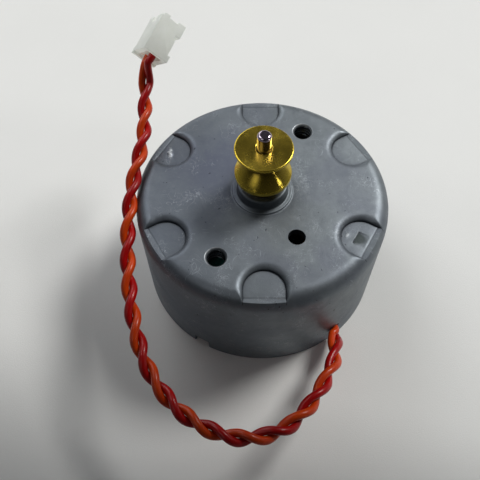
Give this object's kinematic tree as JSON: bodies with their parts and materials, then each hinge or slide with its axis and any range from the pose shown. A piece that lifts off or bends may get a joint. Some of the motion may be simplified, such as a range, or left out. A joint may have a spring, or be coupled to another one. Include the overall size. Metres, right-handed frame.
{
  "type": "small flat brushed dc motor",
  "caption": "Flat round brushed DC motor in a drawn steel case, with a brass V-groove pulley on its shaft and a twisted two-wire lead ending in a white crimp connector.",
  "frame": {"origin": "on the motor axis, in the plane of the front mounting face, at the centre of the two tapped fixing holes", "axes": "+Z along the shaft, out of the pulley end; +X and +Y across the case, with the tapped fixing holes on the line at 60 degrees from +X"},
  "size_m": [0.0256, 0.0399, 0.0206],
  "materials": {
    "steel_case": "matte zinc plating, dull and slightly mottled",
    "cover_steel": "plain zinc plating",
    "bearing_bronze": "sintered, matte and oily",
    "thrust_pad": "dark hard plastic",
    "ferrite": "matte dark ferrite",
    "holder_plastic": "black moulded",
    "spring_bronze": "cold-rolled phosphor bronze",
    "brush_carbon": "metal graphite, matte",
    "tin": "hot-tinned, satin",
    "solder": "bright solder",
    "copper_strand": "bare stranded copper",
    "wire_orange": "glossy wire insulation, orange",
    "wire_red": "glossy wire insulation, dark red",
    "connector_white": "natural white moulded nylon",
    "contact_tin": "tin-plated phosphor bronze",
    "shaft_steel": "ground and polished steel",
    "pulley_brass": "turned brass, bright with fine turning marks",
    "washer_film": "slippery polymer film",
    "sleeve_nylon": "natural nylon",
    "core_steel": "silicon steel sheet, varnished",
    "insulator": "moulded insulating film, teal",
    "magnet_wire": "enamelled copper, glossy",
    "varistor": "fired oxide disc, matte",
    "hub_resin": "moulded phenolic, brown",
    "comm_copper": "turned copper"
  },
  "bodies": {
    "stator": {"can": "steel_case", "front_bush": "bearing_bronze", "rear_cover": "cover_steel", "rear_bush": "bearing_bronze", "thrust_plate": "thrust_pad", "magnet_ring": "ferrite", "brush_holder": "holder_plastic", "brush_spring_a": "spring_bronze", "brush_spring_b": "spring_bronze", "brush_pad_a": "brush_carbon", "brush_pad_b": "brush_carbon", "terminal_a": "tin", "terminal_b": "tin", "solder_joints": "solder", "wire_strands": "copper_strand", "lead_orange": "wire_orange", "lead_red": "wire_red", "connector_housing": "connector_white", "contacts": "contact_tin"},
    "rotor": {"shaft": "shaft_steel", "pulley": "pulley_brass", "thrust_washer_front": "washer_film", "spacer_sleeve": "sleeve_nylon", "core_laminations": "core_steel", "core_insulators": "insulator", "winding_a": "magnet_wire", "winding_b": "magnet_wire", "winding_c": "magnet_wire", "varistor_ring": "varistor", "commutator_hub": "hub_resin", "commutator_segments": "comm_copper", "thrust_washer_rear": "washer_film"}
  },
  "joints": [
    {"name": "rotor_spin", "type": "hinge", "parent": "stator", "child": "rotor", "pos_m": [0, 0, 0], "axis": [0, 0, 1], "continuous": true}
  ]
}
